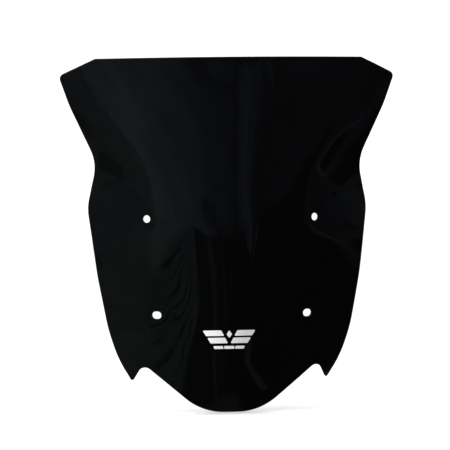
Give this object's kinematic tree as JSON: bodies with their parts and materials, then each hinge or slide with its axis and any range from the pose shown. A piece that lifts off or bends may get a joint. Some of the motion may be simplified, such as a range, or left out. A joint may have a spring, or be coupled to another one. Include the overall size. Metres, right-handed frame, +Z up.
{
  "type": "windshield screen",
  "caption": "Formed gloss-black touring windshield with flared ears, a narrow waist, a notched lower lobe, slotted screw holes and a foil badge.",
  "frame": {"origin": "centre of the four screw seats, on the front face", "axes": "+Z up along the screen, +X across it to the right as seen from the road, -Y towards the road, +Y towards the rider"},
  "size_m": [0.4376, 0.0756, 0.4621],
  "materials": {
    "smoked_acrylic": "polished, near-opaque dark smoke acrylic",
    "silver_foil": "satin silver foil"
  },
  "bodies": {
    "root": {"screen_panel": "smoked_acrylic", "badge_blade_upper_left": "silver_foil", "badge_blade_upper_right": "silver_foil", "badge_blade_lower_left": "silver_foil", "badge_blade_lower_right": "silver_foil", "badge_diamond": "silver_foil", "badge_dash_left": "silver_foil", "badge_dash_centre": "silver_foil", "badge_dash_right": "silver_foil"}
  },
  "joints": []
}
